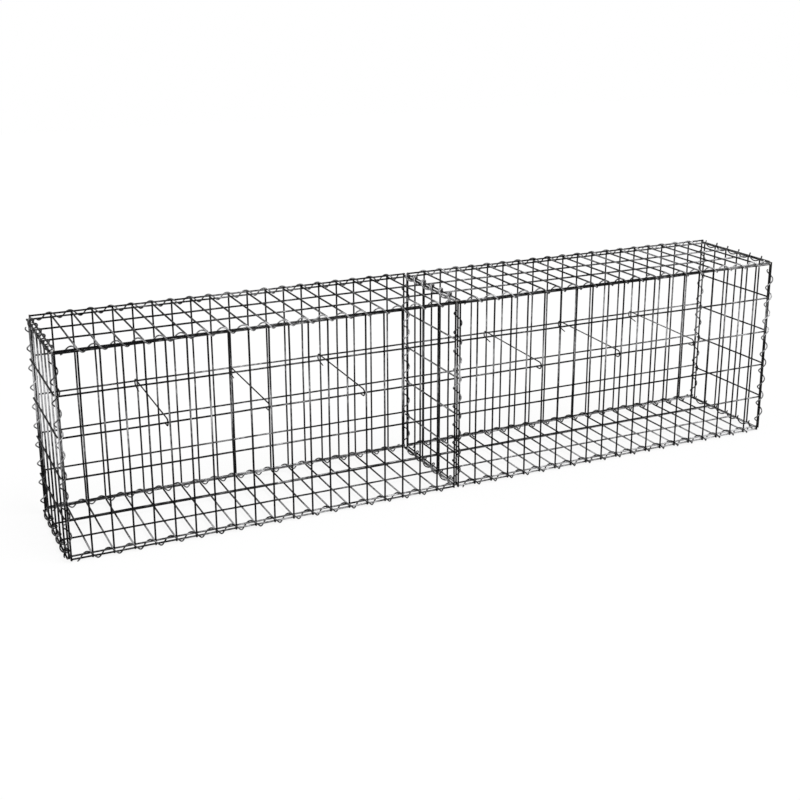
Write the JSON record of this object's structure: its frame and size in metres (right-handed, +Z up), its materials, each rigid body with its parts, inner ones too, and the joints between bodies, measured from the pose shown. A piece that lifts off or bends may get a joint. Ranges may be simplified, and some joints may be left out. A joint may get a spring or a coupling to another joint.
{
  "type": "gabion basket wall",
  "caption": "Empty free-standing gabion wall: welded wire mesh bays in a row with lids and a shared divider, laced with spiral wires and held by tie rods.",
  "frame": {"origin": "middle of the footprint, on the ground under the divider", "axes": "+X along the wall, +Y from the front to the back, +Z up"},
  "size_m": [2.0458, 0.3324, 0.5269],
  "materials": {
    "mesh_wire": "galvanised and dulled to dark grey",
    "spiral_wire": "galvanised and dulled to dark grey",
    "tie_wire": "galvanised and dulled to dark grey"
  },
  "bodies": {
    "root": {"back_bottom_spiral_left": "spiral_wire", "back_bottom_spiral_right": "spiral_wire", "back_corner_spiral_left": "spiral_wire", "back_corner_spiral_right": "spiral_wire", "back_panel_left": "mesh_wire", "back_panel_right": "mesh_wire", "back_top_spiral_left": "spiral_wire", "back_top_spiral_right": "spiral_wire", "base_left": "mesh_wire", "base_right": "mesh_wire", "divider_bottom_spiral": "spiral_wire", "divider_panel": "mesh_wire", "divider_top_spiral_1": "spiral_wire", "divider_top_spiral_2": "spiral_wire", "end_bottom_spiral_left": "spiral_wire", "end_bottom_spiral_right": "spiral_wire", "end_panel_left": "mesh_wire", "end_panel_right": "mesh_wire", "end_top_spiral_left": "spiral_wire", "end_top_spiral_right": "spiral_wire", "front_bottom_spiral_left": "spiral_wire", "front_bottom_spiral_right": "spiral_wire", "front_corner_spiral_left": "spiral_wire", "front_corner_spiral_right": "spiral_wire", "front_panel_left": "mesh_wire", "front_panel_right": "mesh_wire", "front_top_spiral_left": "spiral_wire", "front_top_spiral_right": "spiral_wire", "lid_left": "mesh_wire", "lid_right": "mesh_wire", "middle_spiral_back": "spiral_wire", "middle_spiral_front": "spiral_wire", "tie_rod_left_1": "tie_wire", "tie_rod_left_2": "tie_wire", "tie_rod_left_3": "tie_wire", "tie_rod_right_1": "tie_wire", "tie_rod_right_2": "tie_wire", "tie_rod_right_3": "tie_wire"}
  },
  "joints": []
}
